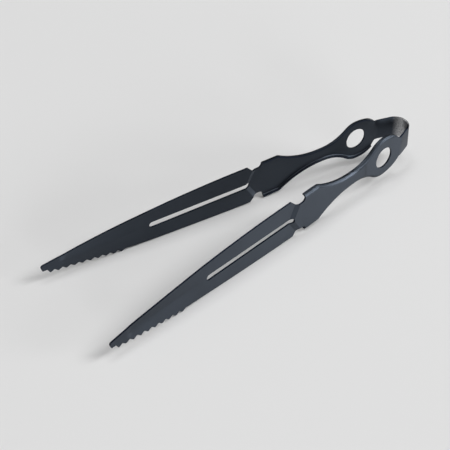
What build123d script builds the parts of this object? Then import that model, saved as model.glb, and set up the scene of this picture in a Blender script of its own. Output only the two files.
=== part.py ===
"""Spring tongs folded from one strip of sheet steel.

Frame: millimetres, X runs from the spring bow to the tips, Y across, Z up.
The origin is the middle of the bounding box, on the ground the tongs lie on.
Each arm is drawn flat: u along the arm from the end of the bend, v upward,
with the outer face toward +Y, and is then swung out and tilted into place.
"""

import os
from math import cos, hypot, radians, sin, sqrt, tan

from build123d import *

# Sheet and spring bow
SHEET = 1.3
BOW_RADIUS = 9.7
BOW_HEIGHT = 17.2
BOW_LEG = 8.8
LEG_BEND = 15.0

# Stance: swing of each bow leg and handle, extra swing of each blade, tilt of the strip at rest
LEG_SWING = 21.2
HANDLE_SWING = 6.3
BLADE_SWING = 0.5
REST_TILT = 3.2

# Handle panel between the bend lines
HOLE_RADIUS = 8.4
HOLE_AT = 17.6
LOBE_RADIUS = 14.4
NECK_HEIGHT = 6.8
LOBE_FLANK = 35.7
NECK_LENGTH = 2.6
SHOULDER_FLANK = 68.9
SHOULDER_HEIGHT = 27.4
SHOULDER_CORNER = 1.8
SHOULDER_LENGTH = 12.5

# Edge flanges, rolled square toward the other arm
FLANGE_DEPTH = 3.2
BEND_INSIDE = 1.1
RUNOUT_CROWN = 0.2

# Relief notch between shoulder and blade
NOTCH_HEIGHT = 22.4
NOTCH_ROUND = 3.0
NOTCH_HALF_LENGTH = 3.8
NOTCH_SLOPE = 48.0

# Step of the sheet from the handle plane in to the blade plane
STEP_DEPTH = 1.65
STEP_WIDTH = 3.4
STEP_LEAN = 30.0
STEP_AT = 10.0
STEP_ROUND = 1.2

# Blade outline, heights from the middle line of the strip
BLADE_LENGTH = 161.7
ROOT_TOP = 16.4
ROOT_BOTTOM = 15.6
TOP_BULGE = 2.6
BOTTOM_BULGE = 0.7
NOSE_LENGTH = 22.4
NOSE_TOP = 8.6
TIP_TOP = 5.2
TIP_BOTTOM = 0.8
TIP_ROUND = 1.8
TIP_CORNER = 0.8
EDGE_ROUND = 0.8

# Teeth on the lower edge
TOOTH_COUNT = 10
TOOTH_PITCH = 5.84
TOOTH_DEPTH = 1.8
TOOTH_FLAT = 0.7
TOOTH_ROUND = 0.7
TOOTH_LINE = 9.0
FIRST_TOOTH_DROP = 10.7
LAST_TOOTH_BACK = 6.1

# Slot and nose crease
SLOT_REAR = 4.0
SLOT_FRONT = 4.7
SLOT_LENGTH = 81.6
SLOT_RISE = 1.3
SLOT_BACK = 3.0
CREASE_GAP = 1.5
CREASE_DEPTH = 0.8
CREASE_SLOPE = 0.13
CREASE_PEAK_BACK = 18.0
CREASE_END_BACK = 13.0

# Working allowances for cutting bodies
OVERRUN = 1.5
SPAN = 60.0

# Stations along the arm
hole_u = HOLE_AT
neck_half = NECK_HEIGHT / 2
shoulder_half = SHOULDER_HEIGHT / 2
notch_half = NOTCH_HEIGHT / 2
rim_reach = BEND_INSIDE + SHEET


def along(origin, target, distance):
    """Point at a distance from origin on the way to target."""
    step = target - origin
    return origin + step * (distance / step.length)


def arc_about(centre, start, end):
    """Short arc about a centre between two points on its circle."""
    middle = along(centre, (start + end) / 2, (start - centre).length)
    return ThreePointArc(start, middle, end)


# Centres of the arcs that shape the handle, shared by the bend line and the flange edge
lobe_c = Vector(hole_u, 0)
tail_drop = LOBE_RADIUS - BOW_HEIGHT / 2
tail_radius = (hole_u**2 + tail_drop**2) / (2 * tail_drop)
tail_c = Vector(hole_u, LOBE_RADIUS - tail_radius)
neck_u = hole_u + sqrt((LOBE_RADIUS + LOBE_FLANK) ** 2 - (neck_half + LOBE_FLANK) ** 2)
lobe_flank_c = Vector(neck_u, neck_half + LOBE_FLANK)
flank_u = neck_u + NECK_LENGTH
flank_c = Vector(flank_u, neck_half + SHOULDER_FLANK)
corner_v = shoulder_half - SHOULDER_CORNER
corner_u = flank_u + sqrt((SHOULDER_FLANK + SHOULDER_CORNER) ** 2 - (flank_c.Y - corner_v) ** 2)
corner_c = Vector(corner_u, corner_v)
shoulder_end = corner_u + SHOULDER_LENGTH
handle_end = shoulder_end + NOTCH_HALF_LENGTH


def handle_face(reach, overrun, inward):
    """Handle outline a reach outside its bend line, on a plane inward of mid-sheet."""
    tail_u = -overrun
    front_u = handle_end + overrun
    tail_r = tail_radius + reach
    tail_p = Vector(tail_u, tail_c.Y + sqrt(tail_r**2 - (hole_u - tail_u) ** 2))
    lobe_top = Vector(hole_u, LOBE_RADIUS + reach)
    lobe_p = along(lobe_c, lobe_flank_c, LOBE_RADIUS + reach)
    neck_p = Vector(neck_u, neck_half + reach)
    flank_p = Vector(flank_u, neck_half + reach)
    corner_p = along(corner_c, flank_c, SHOULDER_CORNER + reach)
    shoulder_p = Vector(corner_u, shoulder_half + reach)
    front_p = Vector(front_u, shoulder_half + reach)
    upper = [
        arc_about(tail_c, tail_p, lobe_top),
        arc_about(lobe_c, lobe_top, lobe_p),
        arc_about(lobe_flank_c, lobe_p, neck_p),
        Line(neck_p, flank_p),
        arc_about(flank_c, flank_p, corner_p),
        arc_about(corner_c, corner_p, shoulder_p),
        Line(shoulder_p, front_p),
    ]
    lower = [mirror(edge, about=Plane.XZ) for edge in upper]
    ends = [Line(p, Vector(p.X, -p.Y)) for p in (tail_p, front_p)]
    return Plane.XZ.offset(inward) * make_face(Curve() + upper + lower + ends)


def tray_block(inward, reach, depth, bend, overrun):
    """Solid within the handle outline a reach outside its bend line, with a rolled rim."""
    block = extrude(handle_face(reach, overrun, inward), depth, dir=(0, -1, 0))
    rim = block.faces().sort_by(Axis.Y)[-1].edges()
    return fillet(rim.filter_by(Axis.Z, reverse=True), bend)


def panel_prism(face):
    """Prism across the sheet from a face drawn in u and v."""
    return extrude(Plane.XZ * face, SPAN / 2, both=True)


def handle():
    """Flanged handle panel with its hanging hole, in the arm's flat frame."""
    skin = tray_block(-SHEET / 2, rim_reach, FLANGE_DEPTH, rim_reach, OVERRUN)
    core = tray_block(SHEET / 2, BEND_INSIDE, FLANGE_DEPTH, BEND_INSIDE, 2 * OVERRUN)
    body = skin - core
    body = body & panel_prism(Pos(handle_end / 2, 0) * Rectangle(handle_end, 2 * SPAN))
    # Relief notches with a round inner corner, above and below
    notch = Rectangle(SPAN, SPAN, align=(Align.MIN, Align.MIN))
    notch = Pos(shoulder_end, notch_half) * fillet(notch.vertices().sort_by(Axis.X)[0:1], NOTCH_ROUND)
    # Flange ends that run out along an arc to the edge of the bow leg
    crown = LOBE_RADIUS + rim_reach + RUNOUT_CROWN
    drop = crown - BOW_HEIGHT / 2
    runout_r = (hole_u**2 + drop**2) / (2 * drop)
    runout = Pos(hole_u, BOW_HEIGHT / 2) * Rectangle(SPAN, SPAN, align=(Align.MAX, Align.MIN))
    runout = runout - Pos(hole_u, crown - runout_r) * Circle(runout_r)
    for cut in (notch, runout):
        tool = panel_prism(cut)
        body = body - tool - mirror(tool, about=Plane.XY)
    bore = panel_prism(Pos(hole_u, 0) * Circle(HOLE_RADIUS))
    return body - bore


# Stations along the blade
root_u = handle_end
step_u = root_u + STEP_AT
tip_u = root_u + 2 * NOTCH_HALF_LENGTH + BLADE_LENGTH
nose_u = tip_u - NOSE_LENGTH
tip_low = Vector(tip_u - TIP_ROUND / 2, TIP_BOTTOM)
slope = tan(radians(NOTCH_SLOPE))
tooth_dir = Vector(cos(radians(TOOTH_LINE)), sin(radians(TOOTH_LINE)))
last_tooth_u = tip_u - LAST_TOOTH_BACK
first_tooth = Vector(last_tooth_u - (TOOTH_COUNT - 1) * TOOTH_PITCH * tooth_dir.X, -FIRST_TOOTH_DROP)
last_tooth = first_tooth + tooth_dir * ((TOOTH_COUNT - 1) * TOOTH_PITCH)
slot_start = Vector(step_u - SLOT_BACK, 0)


def bulged(start, end, bulge):
    """Shallow arc between two points, standing off its chord to the left by bulge."""
    chord = end - start
    side = Vector(-chord.Y, chord.X) / chord.length
    return ThreePointArc(start, (start + end) / 2 + side * bulge, end)


def blade_face():
    """Blade outline with its half of the relief notches, before teeth and slot are cut."""
    knee_u = root_u + NOTCH_HALF_LENGTH
    top_root = Vector(knee_u + (ROOT_TOP - notch_half) / slope, ROOT_TOP)
    low_root = Vector(knee_u + (ROOT_BOTTOM - notch_half) / slope, -ROOT_BOTTOM)
    edge_end = first_tooth + Vector(-TOOTH_PITCH / 2, TOOTH_DEPTH * 2 / 3)
    nose = Vector(nose_u, NOSE_TOP)
    tip_top = Vector(tip_u, TIP_TOP)
    back_u = root_u - OVERRUN
    lines = [
        Line((back_u, -notch_half), (back_u, notch_half)),
        Line((back_u, notch_half), (knee_u, notch_half)),
        Line((knee_u, notch_half), top_root),
        bulged(top_root, nose, TOP_BULGE),
        Line(nose, tip_top),
        Line(tip_top, tip_low),
        Line(tip_low, last_tooth),
        Line(last_tooth, first_tooth),
        Line(first_tooth, edge_end),
        bulged(edge_end, low_root, BOTTOM_BULGE),
        Line(low_root, (knee_u, -notch_half)),
        Line((knee_u, -notch_half), (back_u, -notch_half)),
    ]
    face = make_face(Curve() + lines)
    corners = face.vertices()
    knees = [v for v in corners if abs(v.X - knee_u) < 0.01]
    face = fillet(knees, NOTCH_ROUND)
    roots = [v for v in face.vertices() if hypot(v.X - top_root.X, v.Y - top_root.Y) < 0.01]
    roots += [v for v in face.vertices() if hypot(v.X - low_root.X, v.Y - low_root.Y) < 0.01]
    face = fillet(roots, EDGE_ROUND)
    tips = [v for v in face.vertices() if hypot(v.X - tip_top.X, v.Y - tip_top.Y) < 0.01]
    return fillet(tips, TIP_ROUND)


def tooth_gaps():
    """Rounded V cuts between the teeth, the last one running out to the tip."""
    points = [first_tooth + tooth_dir * (i * TOOTH_PITCH) for i in range(TOOTH_COUNT)]
    points.append(along(tip_low, last_tooth, -TOOTH_FLAT / 2))
    gaps = []
    for near, far in zip(points, points[1:]):
        run = (far - near).normalized()
        apex = (near + far) / 2 + Vector(-run.Y, run.X) * TOOTH_DEPTH
        rear = near + run * (TOOTH_FLAT / 2)
        front = far - run * (TOOTH_FLAT / 2)
        # The sides run on past the tooth line, clear of the blade
        gap = make_face(Polyline(apex, apex + (rear - apex) * 2, apex + (front - apex) * 2, close=True))
        gaps.append(fillet(gap.vertices().sort_by_distance(apex)[0:1], TOOTH_ROUND))
    return gaps


def stepped_half():
    """Upper half of the sheet, stepping in across a leaning band."""
    run = STEP_WIDTH / 2
    path = [(-SPAN, 0), (-run, 0), (run, -STEP_DEPTH), (tip_u, -STEP_DEPTH)]
    top = [Vector(p, w + SHEET / 2) for p, w in path]
    low = [Vector(p, w - SHEET / 2) for p, w in reversed(path)]
    section = make_face(Polyline(*top, *low, close=True))
    bends = [v for v in section.vertices() if abs(abs(v.X) - run) < 0.01]
    section = fillet(bends, STEP_ROUND)
    # Section plane: first axis across the band, second axis outward, extruded along the band
    lean = radians(STEP_LEAN)
    across = Plane((step_u, 0, 0), x_dir=(cos(lean), 0, sin(lean)), z_dir=(-sin(lean), 0, cos(lean)))
    sheet = extrude(across * section, 2 * tip_u, both=True)
    keep = Pos(tip_u / 2, 0, 0) * Box(2 * tip_u, SPAN, SPAN, align=(Align.CENTER, Align.CENTER, Align.MIN))
    return sheet & keep


def creased_nose(start):
    """Front of the blade, folded more and more along its middle line, then flat again at the tip."""
    peak = tip_u - CREASE_PEAK_BACK
    end = tip_u - CREASE_END_BACK
    sections = []
    for u, depth, fold in ((start, 0, 0), (peak, CREASE_DEPTH, CREASE_SLOPE), (end, 0, 0), (tip_u + OVERRUN, 0, 0)):
        ridge = (u - slot_start.X) * tan(radians(SLOT_RISE))
        deep = -STEP_DEPTH - depth
        edge = deep + fold * SPAN / 2
        fold_line = [(edge, -SPAN / 2), (deep, 0), (edge, SPAN / 2)]
        outer = [Vector(u, w + SHEET / 2, ridge + v) for w, v in fold_line]
        inner = [Vector(u, w - SHEET / 2, ridge + v) for w, v in reversed(fold_line)]
        sections.append(make_face(Polyline(*outer, *inner, close=True)))
    return loft(sections, ruled=True)


def swung(shape, swing, about_u):
    """Shape turned about an upright line at a station of the arm."""
    return Pos(about_u, 0, 0) * Rot(0, 0, swing) * Pos(-about_u, 0, 0) * shape


def blade():
    """Stepped, slotted and toothed blade, swung out from the end of the handle."""
    outline = blade_face()
    for gap in tooth_gaps():
        outline = outline - gap
    outline = fillet(outline.vertices().sort_by_distance(tip_low)[0:1], TIP_CORNER)
    slot_rear = Pos(SLOT_REAR / 2, 0) * Circle(SLOT_REAR / 2)
    slot_front = Pos(SLOT_LENGTH - SLOT_FRONT / 2, 0) * Circle(SLOT_FRONT / 2)
    slot = make_hull(slot_rear.edges() + slot_front.edges())
    outline = outline - Pos(slot_start.X, slot_start.Y) * Rot(0, 0, SLOT_RISE) * slot
    crease_u = slot_start.X + SLOT_LENGTH + CREASE_GAP
    upper = stepped_half()
    sheet = upper + mirror(upper, about=Plane.XY)
    rear = Pos(crease_u, 0, 0) * Box(2 * tip_u, SPAN, 2 * SPAN, align=(Align.MAX, Align.CENTER, Align.CENTER))
    body = (sheet & rear) + creased_nose(crease_u)
    body = swung(body & panel_prism(outline), BLADE_SWING, root_u)
    # Trimmed square to meet the end of the handle
    front = Align.MIN, Align.CENTER, Align.CENTER
    return body & Pos(root_u, 0, 0) * Box(2 * tip_u, 2 * SPAN, 2 * SPAN, align=front)


def heading(swing, length):
    """Vector of a length that points forward, swung out to the left by degrees."""
    return Vector(length * cos(radians(swing)), length * sin(radians(swing)))


# Path of the left half of the strip: round the bow, straight along the leg, eased into the handle
turn_end = heading(LEG_SWING + 90, BOW_RADIUS)
leg_end = turn_end + heading(LEG_SWING, BOW_LEG)
ease_c = leg_end + heading(LEG_SWING - 90, LEG_BEND)
handle_start = ease_c + heading(HANDLE_SWING + 90, LEG_BEND)


def left_arm(shape):
    """Flat arm shape brought to its place at the end of the left bow leg."""
    return Pos(handle_start) * Rot(0, 0, HANDLE_SWING) * shape


def bow():
    """Spring bow: a flat strip bent round, with a leg that eases out to each handle."""
    path = [
        arc_about(Vector(0, 0), Vector(-BOW_RADIUS, 0), turn_end),
        Line(turn_end, leg_end),
        arc_about(ease_c, leg_end, handle_start),
    ]
    half = trace(path, SHEET)
    section = half + mirror(half, about=Plane.XZ)
    return extrude(section, BOW_HEIGHT / 2, both=True)


left = {
    "handle": left_arm(handle()),
    "blade": left_arm(blade()),
}
nodes = {"spring_bow": bow()}
for name, shape in left.items():
    nodes["left_" + name] = shape
    nodes["right_" + name] = mirror(shape, about=Plane.XZ)

# Lay the tongs down on their lower edges and centre them on the origin
nodes = {name: Rot(0, REST_TILT, 0) * shape for name, shape in nodes.items()}
whole = Compound(children=[Compound(shape.wrapped) for shape in nodes.values()]).bounding_box()
settle = Pos(-(whole.min.X + whole.max.X) / 2, 0, -whole.min.Z)

os.makedirs("parts", exist_ok=True)
for name, shape in nodes.items():
    placed = settle * shape
    export_step(placed, f"parts/{name}.step")
    box = placed.bounding_box()
    print(name, len(placed.solids()), round(placed.volume, 1), box.min, box.max)
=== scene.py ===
"""Looks of the spring tongs: satin blue-black sheet steel on a pale studio floor.

Metres, in the frame of the solids: X runs from the spring bow to the tips,
Y across to the left arm, Z up from the ground the tongs lie on.
"""

import logging
from dataclasses import dataclass, field
from enum import Enum
from math import atan2, cos, pi, radians, sin, tan
from typing import Any

import bmesh
import bpy
from mathutils import Matrix, Vector


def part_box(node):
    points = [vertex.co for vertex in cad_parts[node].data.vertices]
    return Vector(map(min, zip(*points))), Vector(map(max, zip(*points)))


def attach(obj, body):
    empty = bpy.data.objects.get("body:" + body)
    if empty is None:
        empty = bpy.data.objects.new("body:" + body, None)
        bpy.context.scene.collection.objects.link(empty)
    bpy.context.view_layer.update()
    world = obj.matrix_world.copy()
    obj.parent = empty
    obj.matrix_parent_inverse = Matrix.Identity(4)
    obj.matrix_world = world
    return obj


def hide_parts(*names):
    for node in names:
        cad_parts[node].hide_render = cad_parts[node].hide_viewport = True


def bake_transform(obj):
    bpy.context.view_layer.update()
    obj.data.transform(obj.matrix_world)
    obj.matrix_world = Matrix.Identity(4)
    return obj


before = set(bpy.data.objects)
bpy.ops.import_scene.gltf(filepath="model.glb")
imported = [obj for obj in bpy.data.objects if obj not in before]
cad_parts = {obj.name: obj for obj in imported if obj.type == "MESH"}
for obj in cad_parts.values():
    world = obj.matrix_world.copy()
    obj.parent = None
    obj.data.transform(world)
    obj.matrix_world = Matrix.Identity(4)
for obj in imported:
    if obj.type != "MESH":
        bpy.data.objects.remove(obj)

LOG = logging.getLogger("tongs")
MM = 0.001
EDGE = "cut_edge"
WEAR_AND_HIGHLIGHT = "bend_wear_and_highlight"
Colour = tuple[float, float, float]


class Side(Enum):
    """Arm of the tongs; the value is the sign of its Y side."""

    LEFT = 1
    RIGHT = -1

    @property
    def word(self) -> str:
        """Name of the side, as the nodes and bodies write it."""
        return self.name.lower()

    @property
    def body(self) -> str:
        """Body that this arm moves with."""
        return f"{self.word}_arm"

    @property
    def flip(self) -> Matrix:
        """Mirror that turns the left arm's places into this arm's."""
        return Matrix.Diagonal((1.0, self.value, 1.0, 1.0))


class Field:
    """Output socket that takes part in Python arithmetic, each step a Math node."""

    def __init__(self, graph: "Graph", socket: bpy.types.NodeSocket) -> None:
        """Keep the socket and the graph it belongs to."""
        self.graph = graph
        self.socket = socket

    def math(self, operation: str, *values: Any) -> "Field":
        """Add a Math node.

        Args:
            operation: Operation of the Math node.
            values: Numbers or fields for its sockets, in order.

        Returns:
            The node's result.
        """
        inputs = dict(enumerate(values))
        return self.graph.add("ShaderNodeMath", {"operation": operation}, inputs)

    def __add__(self, other: Any) -> "Field":
        """Sum with a number or field."""
        return self.math("ADD", self, other)

    def __radd__(self, other: Any) -> "Field":
        """Sum with a number on the left."""
        return self.math("ADD", other, self)

    def __sub__(self, other: Any) -> "Field":
        """Difference from a number or field."""
        return self.math("SUBTRACT", self, other)

    def __rsub__(self, other: Any) -> "Field":
        """Difference with a number on the left."""
        return self.math("SUBTRACT", other, self)

    def __mul__(self, other: Any) -> "Field":
        """Product with a number or field."""
        return self.math("MULTIPLY", self, other)

    def __rmul__(self, other: Any) -> "Field":
        """Product with a number on the left."""
        return self.math("MULTIPLY", other, self)

    def clamped(self) -> "Field":
        """Value held between 0 and 1."""
        return self.math("MINIMUM", self.math("MAXIMUM", self, 0.0), 1.0)


class Graph:
    """Node tree of a finish, a light or a shape, with one way to add a node."""

    def __init__(self, tree: bpy.types.NodeTree) -> None:
        """Start from an empty tree."""
        self.tree = tree
        tree.nodes.clear()

    def add(
        self,
        kind: str,
        settings: dict[str, Any] | None = None,
        inputs: dict[Any, Any] | None = None,
        out: Any = 0,
    ) -> Field:
        """Add a node, its settings first, then its values and links.

        Args:
            kind: Node type.
            settings: Properties of the node, by name.
            inputs: Values or fields by socket identifier, name or place.
            out: Identifier, name or place of the output that is wanted.

        Returns:
            The chosen output, or the node's last input where it has no output.
        """
        node = self.tree.nodes.new(kind)
        for key, value in (settings or {}).items():
            setattr(node, key, value)
        for key, value in (inputs or {}).items():
            socket = self._find(node.inputs, key)
            if isinstance(value, Field):
                self.tree.links.new(value.socket, socket)
            else:
                socket.default_value = value
        if not node.outputs:
            return Field(self, node.inputs[-1])
        return Field(self, self._find(node.outputs, out))

    def mark(self, name: str) -> Field:
        """Read a mark that a mesh carries; a mesh without it reads as 0."""
        return self.add("ShaderNodeAttribute", {"attribute_name": name}, out="Fac")

    def blended(self, share: Field, under: Any, over: Colour) -> Field:
        """Lay one colour over another.

        Args:
            share: How much of the upper colour shows, 0 to 1.
            under: Lower colour, plain or as a field.
            over: Upper colour.

        Returns:
            The blended colour.
        """
        lower = under if isinstance(under, Field) else (*under, 1.0)
        inputs = {"Factor_Float": share, "A_Color": lower, "B_Color": (*over, 1.0)}
        return self.add("ShaderNodeMix", {"data_type": "RGBA"}, inputs, "Result_Color")

    @staticmethod
    def _find(sockets: Any, key: Any) -> bpy.types.NodeSocket:
        """Find a socket by place, identifier or name, in that order.

        Args:
            sockets: Inputs or outputs of a node.
            key: Place, identifier or name.

        Returns:
            The first socket that answers to the key.
        """
        if isinstance(key, int):
            return sockets[key]
        for socket in sockets:
            if socket.identifier == key:
                return socket
        return next(s for s in sockets if s.name == key and s.enabled)


@dataclass(frozen=True)
class Noise:
    """Cloudy pattern: how many clouds there are to the metre, and how many finer layers."""

    scale: float
    detail: float

    def over(self, graph: Graph, place: Field) -> Field:
        """Strength of the pattern at a place, spread about one half."""
        inputs = {"Vector": place, "Scale": self.scale, "Detail": self.detail}
        return graph.add("ShaderNodeTexNoise", None, inputs, "Fac")


@dataclass(frozen=True)
class SatinSteel:
    """Blue-black oxide finish on rolled sheet, with sheared edges in painted shade and a rubbed
    bend that also carries a painted highlight.

    A pattern's tone is its share in the mix of dark and pale, its roughness is how far it
    swings the sheet's roughness, and its relief is its share in the fine bumps.
    """

    name: str = "blue_black_steel"
    dark: Colour = (0.041, 0.049, 0.061)
    pale: Colour = (0.049, 0.058, 0.073)
    # Darker, bluer colour of the cut faces: painted shade along the sheet's edges.
    cut_face_shade: Colour = (0.022, 0.029, 0.046)
    # Pale colour of the rubbed bend: partly worn metal, partly a painted highlight inside the
    # bow.
    worn: Colour = (0.74, 0.74, 0.75)
    metallic: float = 1.0
    roughness: float = 0.44
    rolled: float = 0.7
    rolled_turn: float = 0.25
    cloud: Noise = Noise(scale=38.0, detail=4.0)
    grain: Noise = Noise(scale=2600.0, detail=2.0)
    peel: Noise = Noise(scale=1500.0, detail=3.0)
    speckle: Noise = Noise(scale=900.0, detail=3.0)
    grain_stretch: float = 24.0
    cloud_tone: float = 0.7
    grain_tone: float = 0.3
    speckle_gain: float = 2.0
    speckle_cut: float = 0.1
    cloud_roughness: float = 0.10
    grain_roughness: float = 0.12
    cut_face_shade_roughness: float = 0.10
    worn_roughness: float = 0.10
    grain_relief: float = 0.5
    peel_relief: float = 0.5
    relief_strength: float = 0.06
    relief_depth: float = 0.4 * MM

    def build(self) -> bpy.types.Material:
        """Make the material.

        Returns:
            Material that reads Object coordinates, the cut-face mark for painted shade and the
            bend mark for wear with a painted highlight.
        """
        material = bpy.data.materials.new(self.name)
        material.use_nodes = True
        graph = Graph(material.node_tree)
        place = graph.add("ShaderNodeTexCoord", out="Object")
        drawn_out = (1.0 / self.grain_stretch, 1.0, 1.0)
        drawn = graph.add("ShaderNodeMapping", None, {"Vector": place, "Scale": drawn_out})
        cloud = self.cloud.over(graph, place)
        lines = self.grain.over(graph, drawn)
        peel = self.peel.over(graph, place)
        speckle = self.speckle.over(graph, place) * self.speckle_gain - self.speckle_cut
        edge = graph.mark(EDGE)
        wear_and_highlight = (graph.mark(WEAR_AND_HIGHLIGHT) * speckle).clamped()
        tone = (cloud * self.cloud_tone + lines * self.grain_tone).clamped()
        colour = graph.blended(tone, self.dark, self.pale)
        # Paint the cut faces darker: painted shade.
        colour = graph.blended(edge, colour, self.cut_face_shade)
        # Lay the pale bend colour: wear, and a painted highlight inside the bow.
        colour = graph.blended(wear_and_highlight, colour, self.worn)
        roughness = (
            self.roughness
            + (cloud - 0.5) * self.cloud_roughness
            + (lines - 0.5) * self.grain_roughness
            + edge * self.cut_face_shade_roughness
            + wear_and_highlight * self.worn_roughness
        )
        relief = {
            "Height": lines * self.grain_relief + peel * self.peel_relief,
            "Strength": self.relief_strength,
            "Distance": self.relief_depth,
        }
        surface = {
            "Base Color": colour,
            "Metallic": self.metallic,
            "Roughness": roughness.clamped(),
            "Anisotropic": self.rolled,
            "Anisotropic Rotation": self.rolled_turn,
            "Normal": graph.add("ShaderNodeBump", None, relief),
        }
        shader = graph.add("ShaderNodeBsdfPrincipled", None, surface)
        graph.add("ShaderNodeOutputMaterial", None, {"Surface": shader})
        return material


def placed(name: str, data: bpy.types.ID) -> bpy.types.Object:
    """Put a mesh, lamp or camera in the scene.

    Args:
        name: Name of the object.
        data: What the object shows.

    Returns:
        The object, at the origin.
    """
    thing = bpy.data.objects.new(name, data)
    bpy.context.scene.collection.objects.link(thing)
    return thing


@dataclass(frozen=True)
class StripStance:
    """How the folded strip lies: its own sizes and where they come to rest."""

    sheet: float = 1.3 * MM
    bow_radius: float = 9.7 * MM
    bow_height: float = 17.2 * MM
    bow_leg: float = 8.8 * MM
    leg_bend: float = 15.0 * MM
    leg_swing: float = radians(21.2)
    handle_swing: float = radians(6.3)
    tilt: float = radians(3.2)

    def place(self) -> Matrix:
        """Fit the strip to the solid of the bow.

        Returns:
            Tilt and shift from the strip's frame to the part's frame.
        """
        low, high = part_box("spring_bow")
        outer = self.bow_radius + self.sheet / 2
        half = self.bow_height / 2
        shift_x = low[0] + outer * cos(self.tilt) + half * sin(self.tilt)
        shift_z = high[2] - outer * sin(self.tilt) - half * cos(self.tilt)
        return Matrix.Translation((shift_x, 0.0, shift_z)) @ Matrix.Rotation(self.tilt, 4, "Y")

    def leg_line(self) -> tuple[Vector, Vector]:
        """Straight of the left bow leg at mid-sheet, in the strip's frame.

        Returns:
            Its start on the bow, and its end.
        """
        start = Vector((-sin(self.leg_swing), cos(self.leg_swing), 0.0)) * self.bow_radius
        run = Vector((cos(self.leg_swing), sin(self.leg_swing), 0.0)) * self.bow_leg
        return start, start + run

    def handle_start(self) -> Vector:
        """Follow the left leg round its easy bend, in the strip's frame.

        Returns:
            Place at mid-sheet where the leg has become the handle.
        """
        _, end = self.leg_line()
        ease_x = sin(self.leg_swing) - sin(self.handle_swing)
        ease_y = cos(self.handle_swing) - cos(self.leg_swing)
        return end + Vector((ease_x, ease_y, 0.0)) * self.leg_bend

    def along(self) -> Vector:
        """Direction of the left handle, in the strip's frame."""
        return Vector((cos(self.handle_swing), sin(self.handle_swing), 0.0))


class BentStrip:
    """Geometry tree that sweeps a strip with broken edges along a path with two bends."""

    CORNERS = ("Apex", "Bow Corner", "Leg Corner", "End")
    INPUTS = {
        "NodeSocketVector": CORNERS,
        "NodeSocketFloat": ("Bow Radius", "Leg Radius", "Strip Height", "Sheet", "Edge Break"),
        "NodeSocketInt": ("Bend Steps", "Edge Steps"),
        "NodeSocketMaterial": ("Steel",),
    }

    def __init__(self) -> None:
        """Name the tree's sockets and lay its nodes."""
        self.tree = bpy.data.node_groups.new("bent_strip", "GeometryNodeTree")
        sockets = self.tree.interface
        sockets.new_socket("Geometry", in_out="OUTPUT", socket_type="NodeSocketGeometry")
        for kind, names in self.INPUTS.items():
            for name in names:
                sockets.new_socket(name, in_out="INPUT", socket_type=kind)
        self.graph = graph = Graph(self.tree)
        sweep = {"Curve": self._path(), "Profile Curve": self._section(), "Fill Caps": True}
        strip = graph.add("GeometryNodeCurveToMesh", None, sweep)
        strip = graph.add("GeometryNodeRealizeInstances", None, {"Geometry": strip})
        coat = {"Geometry": strip, "Material": self._given("Steel")}
        strip = graph.add("GeometryNodeSetMaterial", None, coat)
        graph.add("NodeGroupOutput", None, {"Geometry": strip})

    def sweep(self, name: str, sizes: dict[str, Any]) -> bpy.types.Mesh:
        """Run the tree and keep its result as a plain mesh.

        Args:
            name: Name of the mesh.
            sizes: Values by input name.

        Returns:
            The evaluated mesh, outside any object.
        """
        holder = placed(f"{name}_path", bpy.data.meshes.new(f"{name}_path"))
        modifier = holder.modifiers.new("sweep", "NODES")
        modifier.node_group = self.tree
        for item in self.tree.interface.items_tree:
            if item.in_out == "INPUT":
                modifier[item.identifier] = sizes[item.name]
        graph = bpy.context.evaluated_depsgraph_get()
        mesh = bpy.data.meshes.new_from_object(holder.evaluated_get(graph))
        mesh.name = name
        holder.modifiers.remove(modifier)
        bpy.data.objects.remove(holder)
        return mesh

    def _given(self, name: str) -> Field:
        """Output of the group's input of this name."""
        return self.graph.add("NodeGroupInput", out=name)

    def _points(self, operation: str, corner: str) -> Field:
        """Choose points of the path by their place in its order.

        Args:
            operation: How a point's index compares with the corner's.
            corner: Name of the corner.

        Returns:
            Which points are meant.
        """
        index = self.graph.add("GeometryNodeInputIndex")
        settings = {"data_type": "INT", "operation": operation}
        inputs = {"A_INT": index, "B_INT": self.CORNERS.index(corner)}
        return self.graph.add("FunctionNodeCompare", settings, inputs)

    def _path(self) -> Field:
        """Lay a line through the corners and round the bow's and the leg's.

        Returns:
            The path, its sides kept upright.
        """
        graph = self.graph
        ends = {"Start": self._given("Apex"), "End": self._given("End")}
        path = graph.add("GeometryNodeCurvePrimitiveLine", None, ends)
        points = {"Curve": path, "Count": len(self.CORNERS)}
        path = graph.add("GeometryNodeResampleCurve", {"mode": "COUNT"}, points)
        for corner in self.CORNERS[1:-1]:
            here = self._points("EQUAL", corner)
            moved = {"Geometry": path, "Selection": here, "Position": self._given(corner)}
            path = graph.add("GeometryNodeSetPosition", None, moved)
        radii = {
            "Switch": self._points("LESS_THAN", "Leg Corner"),
            "False": self._given("Leg Radius"),
            "True": self._given("Bow Radius"),
        }
        radius = graph.add("GeometryNodeSwitch", {"input_type": "FLOAT"}, radii)
        bends = {"Curve": path, "Count": self._given("Bend Steps"), "Radius": radius}
        path = graph.add("GeometryNodeFilletCurve", {"mode": "POLY"}, bends)
        return graph.add("GeometryNodeSetCurveNormal", {"mode": "Z_UP"}, {"Curve": path})

    def _section(self) -> Field:
        """Draw the strip's cross-section and break its corners.

        Returns:
            The closed section.
        """
        sides = {"Width": self._given("Sheet"), "Height": self._given("Strip Height")}
        section = self.graph.add(
            "GeometryNodeCurvePrimitiveQuadrilateral", {"mode": "RECTANGLE"}, sides
        )
        breaks = {
            "Curve": section,
            "Count": self._given("Edge Steps"),
            "Radius": self._given("Edge Break"),
        }
        return self.graph.add("GeometryNodeFilletCurve", {"mode": "POLY"}, breaks)


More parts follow.
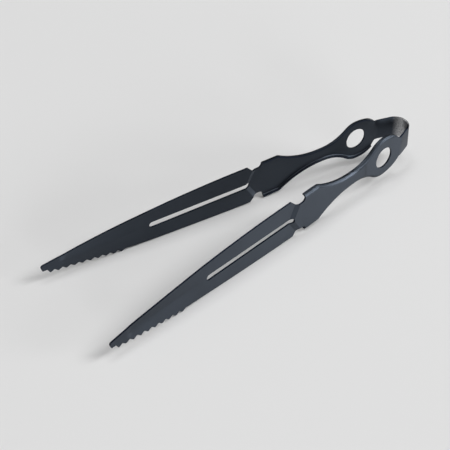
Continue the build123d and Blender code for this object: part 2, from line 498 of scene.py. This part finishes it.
@dataclass
class SpringBow:
    """The strip bent round at the tail, swept along its path in two halves.

    A face is a sheared edge, painted in a darker shade, where the upright part of its direction
    is past the edge slope.
    The finish is rubbed off on the inside and a painted highlight is laid there, as far round
    from the apex as the span of wear and highlight.
    """

    stance: StripStance
    steel: bpy.types.Material
    edge_break: float = 0.18 * MM
    edge_steps: int = 3
    bend_steps: int = 28
    sharp: float = radians(40.0)
    edge_slope: float = 0.7
    worn_span: float = radians(60.0)
    worn_fade: float = 1.5
    pieces: list[bpy.types.Object] = field(default_factory=list)

    def build(self) -> None:
        """Make both halves and let them stand for the solid."""
        strip = BentStrip()
        for side in Side:
            self.pieces.append(self._half(strip, side))
        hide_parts("spring_bow")

    def path_points(self) -> tuple[Vector, Vector, Vector, Vector]:
        """Corners of the left half's path before they are rounded.

        Returns:
            Apex of the bow, where its line meets the leg's, where the leg's line
            meets the handle's, and the end of the strip.
        """
        stance = self.stance
        start, leg_end = stance.leg_line()
        apex = Vector((-stance.bow_radius, 0.0, 0.0))
        slope = tan(stance.leg_swing)
        bow_corner = Vector((apex.x, start.y - (start.x - apex.x) * slope, 0.0))
        turn = (stance.leg_swing - stance.handle_swing) / 2
        leg = (leg_end - start).normalized()
        leg_corner = leg_end + leg * (stance.leg_bend * tan(turn))
        return apex, bow_corner, leg_corner, stance.handle_start()

    def _half(self, strip: BentStrip, side: Side) -> bpy.types.Object:
        """Sweep one half of the bow.

        Args:
            strip: Geometry tree of the bent strip.
            side: Arm that the half runs to.

        Returns:
            The half's object.
        """
        stance = self.stance
        corners = [side.flip @ point for point in self.path_points()]
        sizes = dict(zip(BentStrip.CORNERS, corners)) | {
            "Bow Radius": stance.bow_radius,
            "Leg Radius": stance.leg_bend,
            "Strip Height": stance.bow_height,
            "Sheet": stance.sheet,
            "Edge Break": self.edge_break,
            "Bend Steps": self.bend_steps,
            "Edge Steps": self.edge_steps,
            "Steel": self.steel,
        }
        name = f"{side.word}_bow_half"
        mesh = strip.sweep(name, sizes)
        self._mark(mesh)
        place = stance.place()
        mesh.transform(place)
        mesh.shade_smooth()
        mesh.set_sharp_from_angle(angle=self.sharp)
        piece = placed(name, mesh)
        apex, *_, end = corners
        tuple(place @ apex)
        tuple(place @ end)
        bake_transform(piece)
        return piece

    def _mark(self, mesh: bpy.types.Mesh) -> None:
        """Note the sheared edges, which the finish paints in a darker shade, and the finish worn
        off inside the bend, which also carries a painted highlight.

        Args:
            mesh: Half of the bow in the strip's frame, changed in place.
        """
        # Cut faces of the strip, which the finish paints in a darker shade.
        edge = mesh.attributes.new(EDGE, "FLOAT", "FACE")
        upright = [abs(face.normal.z) for face in mesh.polygons]
        edge.data.foreach_set("value", [float(slope > self.edge_slope) for slope in upright])
        # Mark of the rubbed bend, where the finish paints wear and a painted highlight.
        wear_and_highlight = mesh.attributes.new(WEAR_AND_HIGHLIGHT, "FLOAT", "POINT")
        for vertex, mark in zip(mesh.vertices, wear_and_highlight.data):
            inside = vertex.co.xy.length < self.stance.bow_radius
            turn = atan2(abs(vertex.co.y), -vertex.co.x)
            if inside and turn < self.worn_span:
                mark.value = cos(turn / self.worn_span * pi / 2) ** self.worn_fade


@dataclass
class Arm:
    """Handle and blade of one side, with their sheared edges broken.

    Corners closer than the weld are merged, faces that turn less than the flat angle become
    one, and edges that turn by the sharp angle or more are broken. An edge within the join's
    reach of a neighbouring zone stays whole, because the strip runs on there.
    """

    side: Side
    stance: StripStance
    steel: bpy.types.Material
    edge_break: float = 0.16 * MM
    edge_steps: int = 2
    sharp: float = radians(28.0)
    weld: float = 0.002 * MM
    flat: float = radians(0.4)
    join_reach: float = 0.02 * MM
    pieces: list[bpy.types.Object] = field(default_factory=list)

    def build(self) -> None:
        """Make the handle and the blade."""
        for zone in ("handle", "blade"):
            self.pieces.append(self._zone(f"{self.side.word}_{zone}"))

    def _zone(self, node: str) -> bpy.types.Object:
        """Break the edges of one solid's copy.

        Args:
            node: Name of the solid.

        Returns:
            The piece that stands for the solid and rides on the arm.
        """
        name = f"{node}_sheet"
        mesh = bpy.data.objects[node].data.copy()
        self._mark(mesh)
        piece = placed(name, mesh)
        bevel = piece.modifiers.new("edge_break", "BEVEL")
        bevel.limit_method = "WEIGHT"
        bevel.width = self.edge_break
        bevel.segments = self.edge_steps
        bevel.use_clamp_overlap = True
        weighted = piece.modifiers.new("flat_faces", "WEIGHTED_NORMAL")
        weighted.keep_sharp = True
        graph = bpy.context.evaluated_depsgraph_get()
        finished = bpy.data.meshes.new_from_object(piece.evaluated_get(graph))
        piece.modifiers.clear()
        piece.data = finished
        bpy.data.meshes.remove(mesh)
        finished.name = name
        finished.materials.clear()
        finished.materials.append(self.steel)
        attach(piece, self.side.body)
        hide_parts(node)
        return piece

    def _mark(self, mesh: bpy.types.Mesh) -> None:
        """Merge the solid's triangles and weigh the edges that are broken.

        Args:
            mesh: Copy of the solid's mesh, changed in place.
        """
        shape = bmesh.new()
        shape.from_mesh(mesh)
        bmesh.ops.remove_doubles(shape, verts=shape.verts, dist=self.weld)
        bmesh.ops.dissolve_limit(
            shape,
            angle_limit=self.flat,
            verts=shape.verts,
            edges=shape.edges,
            use_dissolve_boundaries=False,
        )
        weight = shape.edges.layers.float.new("bevel_weight_edge")
        between = [edge for edge in shape.edges if edge.is_manifold]
        turns = [edge for edge in between if edge.calc_face_angle(0.0) >= self.sharp]
        self._mark_sheared(shape, set(turns))
        joins = self._joins()
        for edge in turns:
            if any(self._lies_on(edge, *join) for join in joins):
                edge.smooth = False
            else:
                edge[weight] = 1.0
        for face in shape.faces:
            face.smooth = True
        shape.to_mesh(mesh)
        shape.free()

    @staticmethod
    def _mark_sheared(shape: bmesh.types.BMesh, turns: set[bmesh.types.BMEdge]) -> None:
        """Note which faces are sheared: all but the two sides of the sheet.

        Args:
            shape: The solid, with its triangles merged.
            turns: Edges at which one surface ends and the next begins.
        """
        # Cut faces, which the finish paints in a darker shade.
        cut_face_shade = shape.faces.layers.float.new(EDGE)
        left = set(shape.faces)
        skins: list[set[bmesh.types.BMFace]] = []
        while left:
            skin: set[bmesh.types.BMFace] = set()
            front = [min(left, key=lambda face: face.index)]
            while front:
                face = front.pop()
                if face in skin:
                    continue
                skin.add(face)
                inner = [edge for edge in face.edges if edge not in turns]
                front += [other for edge in inner for other in edge.link_faces]
            left -= skin
            skins.append(skin)
        *rims, _, _ = sorted(skins, key=lambda skin: sum(face.calc_area() for face in skin))
        for rim in rims:
            for face in rim:
                face[cut_face_shade] = 1.0

    def _lies_on(self, edge: bmesh.types.BMEdge, spot: Vector, normal: Vector) -> bool:
        """Whether an edge lies on the plane through a point, square to a direction."""
        return all(abs((v.co - spot).dot(normal)) < self.join_reach for v in edge.verts)

    def _joins(self) -> list[tuple[Vector, Vector]]:
        """Planes where the strip runs on unbroken: a point and a direction each.

        Returns:
            The end of the bow leg, and the end of the handle.
        """
        place = self.stance.place() @ self.side.flip
        spot = place @ self.stance.handle_start()
        normal = place.to_3x3() @ self.stance.along()
        handle = bpy.data.objects[f"{self.side.word}_handle"].data
        reach = max((v.co - spot).dot(normal) for v in handle.vertices)
        return [(spot, normal), (spot + normal * reach, normal)]


@dataclass(frozen=True)
class Softbox:
    """Round soft lamp that faces the tongs.

    The azimuth is in degrees round from +X and the height in degrees above the floor.
    The share is how brightly a white floor below the tongs shows by this lamp alone.
    """

    name: str
    azimuth: float
    height: float
    reach: float
    size: float
    share: float

    def build(self) -> None:
        """Hang the lamp at its reach and give it the power its share asks for."""
        azimuth, height = radians(self.azimuth), radians(self.height)
        light = bpy.data.lights.new(self.name, "AREA")
        light.shape = "DISK"
        light.size = self.size
        light.energy = self.share * (pi * self.reach) ** 2 / sin(height)
        aim = Vector((cos(azimuth), sin(azimuth), tan(height))).normalized()
        lamp = placed(self.name, light)
        lamp.location = aim * self.reach
        lamp.rotation_euler = (-aim).to_track_quat("-Z", "Y").to_euler()


@dataclass(frozen=True)
class Viewpoint:
    """Camera at the photograph's viewing angle; lens and sensor are in millimetres."""

    target: tuple[float, float, float] = (24.5547 * MM, -0.7905 * MM, 15.0 * MM)
    distance: float = 693.747 * MM
    heading: float = radians(233.3354)
    pitch: float = radians(40.7324)
    roll: float = radians(-0.4266)
    lens: float = 80.6728
    sensor: float = 36.0
    nearest: float = 10.0 * MM

    def build(self) -> None:
        """Stand the camera where it sees the target from the photograph's side."""
        camera_data = bpy.data.cameras.new("camera")
        camera_data.sensor_width = self.sensor
        camera_data.lens = self.lens
        camera_data.clip_start = self.nearest
        level = Vector((cos(self.heading), sin(self.heading), 0.0))
        ahead = level * cos(self.pitch) - Vector((0.0, 0.0, sin(self.pitch)))
        turn = ahead.to_track_quat("-Z", "Y").to_matrix() @ Matrix.Rotation(self.roll, 3, "Z")
        eye = Vector(self.target) - ahead * self.distance
        camera = placed("camera", camera_data)
        camera.matrix_world = Matrix.Translation(eye) @ turn.to_4x4()
        bpy.context.scene.camera = camera


@dataclass(frozen=True)
class MattPaint:
    """Pale finish of the floor, without gloss."""

    name: str = "pale_floor"
    colour: Colour = (0.73, 0.73, 0.73)
    roughness: float = 0.9
    gloss: float = 0.0

    def build(self) -> bpy.types.Material:
        """Make the material.

        Returns:
            Material of one plain colour.
        """
        material = bpy.data.materials.new(self.name)
        material.use_nodes = True
        graph = Graph(material.node_tree)
        surface = {
            "Base Color": (*self.colour, 1.0),
            "Roughness": self.roughness,
            "Specular IOR Level": self.gloss,
        }
        shader = graph.add("ShaderNodeBsdfPrincipled", None, surface)
        graph.add("ShaderNodeOutputMaterial", None, {"Surface": shader})
        return material


@dataclass(frozen=True)
class Studio:
    """Pale matt floor and backdrop, faint room light, soft lamps and the camera."""

    floor_size: float = 12.0
    floor_paint: MattPaint = MattPaint()
    sky: float = 0.02
    backdrop: float = 0.62
    lamps: tuple[Softbox, ...] = (
        Softbox("top_softbox", azimuth=233.0, height=85.0, reach=3.6, size=2.7, share=0.46),
        Softbox("right_softbox", azimuth=150.0, height=39.0, reach=9.0, size=4.5, share=0.44),
        Softbox("right_low_softbox", azimuth=138.0, height=8.0, reach=9.0, size=2.8, share=0.068),
        Softbox("near_low_softbox", azimuth=76.0, height=6.0, reach=9.0, size=2.8, share=0.05),
        Softbox("front_softbox", azimuth=350.0, height=32.0, reach=3.6, size=3.6, share=0.05),
        Softbox("rear_softbox", azimuth=280.0, height=30.0, reach=3.6, size=3.6, share=0.02),
    )
    viewpoint: Viewpoint = Viewpoint()

    def build(self) -> None:
        """Lay the floor, hang the lamps and set the camera."""
        self._floor()
        self._sky()
        for lamp in self.lamps:
            lamp.build()
        self.viewpoint.build()
        bpy.context.scene.view_settings.view_transform = "Standard"

    def _floor(self) -> None:
        """Lay a matt floor that keeps the shadow."""
        half = self.floor_size / 2
        corners = [(-half, -half, 0), (half, -half, 0), (half, half, 0), (-half, half, 0)]
        mesh = bpy.data.meshes.new("floor")
        mesh.from_pydata(corners, [], [(0, 1, 2, 3)])
        mesh.materials.append(self.floor_paint.build())
        floor = placed("floor", mesh)

    def _sky(self) -> None:
        """Fill the room with faint even light, and show a pale backdrop behind the floor."""
        world = bpy.data.worlds.new("soft_room")
        world.use_nodes = True
        graph = Graph(world.node_tree)
        white = (1.0, 1.0, 1.0, 1.0)
        grey = (self.backdrop, self.backdrop, self.backdrop, 1.0)
        light = graph.add("ShaderNodeBackground", None, {"Color": white, "Strength": self.sky})
        shown = graph.add("ShaderNodeBackground", None, {"Color": grey, "Strength": 1.0})
        seen = graph.add("ShaderNodeLightPath", out="Is Camera Ray")
        surface = graph.add("ShaderNodeMixShader", None, {0: seen, 1: light, 2: shown})
        graph.add("ShaderNodeOutputWorld", None, {"Surface": surface})
        bpy.context.scene.world = world


def main() -> None:
    """Build the tongs and the studio."""
    logging.basicConfig(level=logging.INFO, format="%(message)s")
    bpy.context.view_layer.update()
    stance = StripStance()
    steel = SatinSteel().build()
    arms = [Arm(side, stance, steel) for side in Side]
    parts: list[SpringBow | Arm] = [SpringBow(stance, steel), *arms]
    for part in parts:
        part.build()
        for piece in part.pieces:
            LOG.info("%s: %d faces", piece.name, len(piece.data.polygons))
    Studio().build()


if __name__ == "__main__":
    main()
